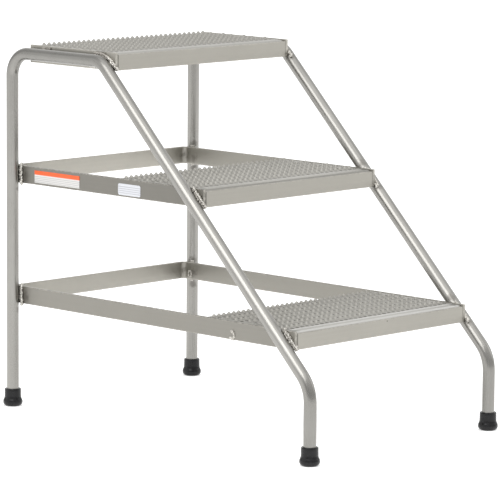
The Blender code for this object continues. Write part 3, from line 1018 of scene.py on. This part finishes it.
def make_feet(material):
    for end, y in (("front", FRONT_LEG_Y), ("rear", REAR_LEG_Y)):
        for side, sign in SIDES.items():
            name = end + "_" + side
            vertices, faces = turned(FOOT_PROFILE, sign * TUBE_X, y)
            foot = make_object(name + "_rubber_tip", vertices, faces, material, sharp=50)
            finish_piece(foot, "rubber", name + "_foot")


def coat_washers(material):
    """The washers keep their solids, with a better material."""
    for name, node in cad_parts.items():
        if name.endswith("_washer"):
            node.data.materials.clear()
            node.data.materials.append(material)


# Labels

LABEL_BEVEL = 0.0001
ORANGE_SHARE = 0.34  # of its label's height


def make_label(node, corner, material):
    """A thin plate with rounded corners and a soft edge."""
    low, high = place(node)
    half_y, half_z = (high[1] - low[1]) / 2, (high[2] - low[2]) / 2
    centre = (low + high) / 2
    outline = []
    for sy, sz, start in ((1, 1, 0), (-1, 1, 90), (-1, -1, 180), (1, -1, 270)):
        for k in range(7):
            angle = math.radians(start + 15 * k)
            outline.append((sy * (half_y - corner) + corner * math.cos(angle),
                            sz * (half_z - corner) + corner * math.sin(angle)))
    count = len(outline)
    vertices, faces = [], []
    for x, inset in ((high[0], 0.0), (low[0] + LABEL_BEVEL, 0.0), (low[0], LABEL_BEVEL)):
        shrink = 1 - inset / half_z
        vertices += [(x, centre[1] + a * shrink, centre[2] + b * shrink) for a, b in outline]
    for ring in range(2):
        for j in range(count):
            k = (j + 1) % count
            faces.append((ring * count + j, ring * count + k,
                          (ring + 1) * count + k, (ring + 1) * count + j))
    faces.append(list(range(count - 1, -1, -1)))
    faces.append([2 * count + j for j in range(count)])
    plate = make_object(node + "_film", vertices, faces, material)
    fix_normals(plate)
    finish_piece(plate, node, node)


def fix_normals(obj):
    shape = bmesh.new()
    shape.from_mesh(obj.data)
    bmesh.ops.recalc_face_normals(shape, faces=shape.faces)
    shape.to_mesh(obj.data)
    shape.free()


def make_labels():
    """Two blank labels: one has an orange band over its ruled lines."""
    low, high = place("orange_label")
    split = high[2] - ORANGE_SHARE * (high[2] - low[2])
    rules = (split - 0.0020, 0.0036, 4)
    orange = film("orange_and_white_film", WARM_PAPER, rules, ORANGE, split)
    make_label("orange_label", 0.0004, orange)
    low, high = place("white_label")
    white = film("white_film", COOL_PAPER, (high[2] - 0.004, 0.0042, 4))
    make_label("white_label", 0.0045, white)


# Floor, light and camera

FLOOR_RADIUS = 120.0
FLOOR_GLOW = 0.36  # keeps the floor white where the block shades it
WORLD_GLOWS = (  # directions of two pale backdrops, where each starts, and its strength
    ((0.70, 0.71, 0.0), 0.55, 0.55),
    ((-0.83, 0.55, 0.08), 0.72, 0.75),
)
SOFTBOXES = {  # place, size and watts
    "key_softbox": ((-2.1, -0.6, 2.3), (2.2, 1.6), 33.0),
    "right_softbox": ((3.2, -2.0, 1.8), (1.6, 2.0), 10.0),
}
SOFTBOX_AIM = Vector((0.0, 0.0, 0.4))
CAMERA_PLACE = (-5.2080, -5.1049, 1.4049)
CAMERA_YAW = math.radians(45.603)
CAMERA_DIP = math.radians(8.230)
CAMERA_ROLL = math.radians(0.467)
CAMERA_LENS = 257.87


def make_floor():
    bpy.ops.mesh.primitive_circle_add(vertices=64, radius=FLOOR_RADIUS, fill_type="NGON")
    floor = bpy.context.object
    floor.name = "studio_floor"
    t = Tree(bpy.data.materials.new("pale_floor"))
    floor.data.materials.append(t.finish(
        Base_Color=(0.93, 0.93, 0.93), Roughness=0.9, Specular_IOR_Level=0.0,
        Emission_Color=(1.0, 1.0, 1.0), Emission_Strength=FLOOR_GLOW,
    ))


def make_world():
    """A soft studio: bright overhead and to the right, with pale backdrops behind and at the left."""
    world = bpy.data.worlds.new("studio")
    bpy.context.scene.world = world
    t = Tree(world)
    way = t.add("ShaderNodeTexCoord").outputs["Generated"]
    rise = t.ramp(t.height(way), 0.05, 0.75, 0.62, 1.0)
    side = t.ramp(t.dot(way, (0.72, -0.69, 0.0)), -1.0, 1.0, 0.80, 1.18, smooth=False)
    total = t.math("MULTIPLY", rise, side)
    for toward, start, strength in WORLD_GLOWS:
        glow = t.ramp(t.dot(way, toward), start, 1.0, 0.0, strength)
        total = t.math("ADD", total, glow)
    background = t.nodes["Background"]
    t.put(background.inputs["Strength"], total)
    t.put(background.inputs["Color"], (1.0, 1.0, 1.0))


def add_lamp(name, lamp, spot, turn):
    obj = bpy.data.objects.new(name, lamp)
    obj.location = spot
    obj.rotation_euler = turn
    bpy.context.scene.collection.objects.link(obj)


def make_lamps():
    for name, (spot, size, power) in SOFTBOXES.items():
        lamp = bpy.data.lights.new(name, "AREA")
        lamp.shape = "RECTANGLE"
        lamp.size, lamp.size_y = size
        lamp.energy = power
        turn = (SOFTBOX_AIM - Vector(spot)).to_track_quat("-Z", "Y").to_euler()
        add_lamp(name, lamp, spot, turn)
    sun = bpy.data.lights.new("overhead", "SUN")
    sun.energy = 0.5
    sun.angle = math.radians(60)
    add_lamp("overhead", sun, (0.0, 0.0, 0.0), (math.radians(12), math.radians(-8), 0.0))


def make_camera():
    data = bpy.data.cameras.new("camera")
    data.lens = CAMERA_LENS
    data.sensor_width = 36.0
    data.clip_start, data.clip_end = 0.1, 500.0
    camera = bpy.data.objects.new("camera", data)
    ahead = Vector((math.sin(CAMERA_YAW) * math.cos(CAMERA_DIP),
                    math.cos(CAMERA_YAW) * math.cos(CAMERA_DIP), -math.sin(CAMERA_DIP)))
    right = Vector((math.cos(CAMERA_YAW), -math.sin(CAMERA_YAW), 0.0))
    up = right.cross(ahead)
    x = right * math.cos(CAMERA_ROLL) + up * math.sin(CAMERA_ROLL)
    y = up * math.cos(CAMERA_ROLL) - right * math.sin(CAMERA_ROLL)
    turn = Matrix((x, y, -ahead)).transposed().to_4x4()
    camera.matrix_world = Matrix.Translation(CAMERA_PLACE) @ turn
    bpy.context.scene.collection.objects.link(camera)
    bpy.context.scene.camera = camera


def main():
    make_camera()
    make_floor()
    make_world()
    make_lamps()
    bpy.context.scene.view_settings.view_transform = "Standard"

    make_side_frames(aluminium("extruded_tube", TUBE_LIGHT, TUBE_DARK, 0.29, 900.0, tube_heat()))
    bar = aluminium("flat_bar", BAR_LIGHT, BAR_DARK, 0.42, 1300.0, bar_heat(), BAR_HOLE_SHADES)
    profile = bar_profile(BAR_THICKNESS, BAR_HEIGHT)
    make_bent_bars(profile, bar)
    make_top_side_bars(profile, bar)
    make_cross_bars(bar)
    sheet = tread_metal(tread_heat())
    for level in LEVELS:
        make_tread(level, sheet)
    bead = weld_metal()
    make_welds(bead)
    make_plug_welds(bead)
    make_feet(rubber())
    make_labels()
    coat_washers(plated_steel())


main()
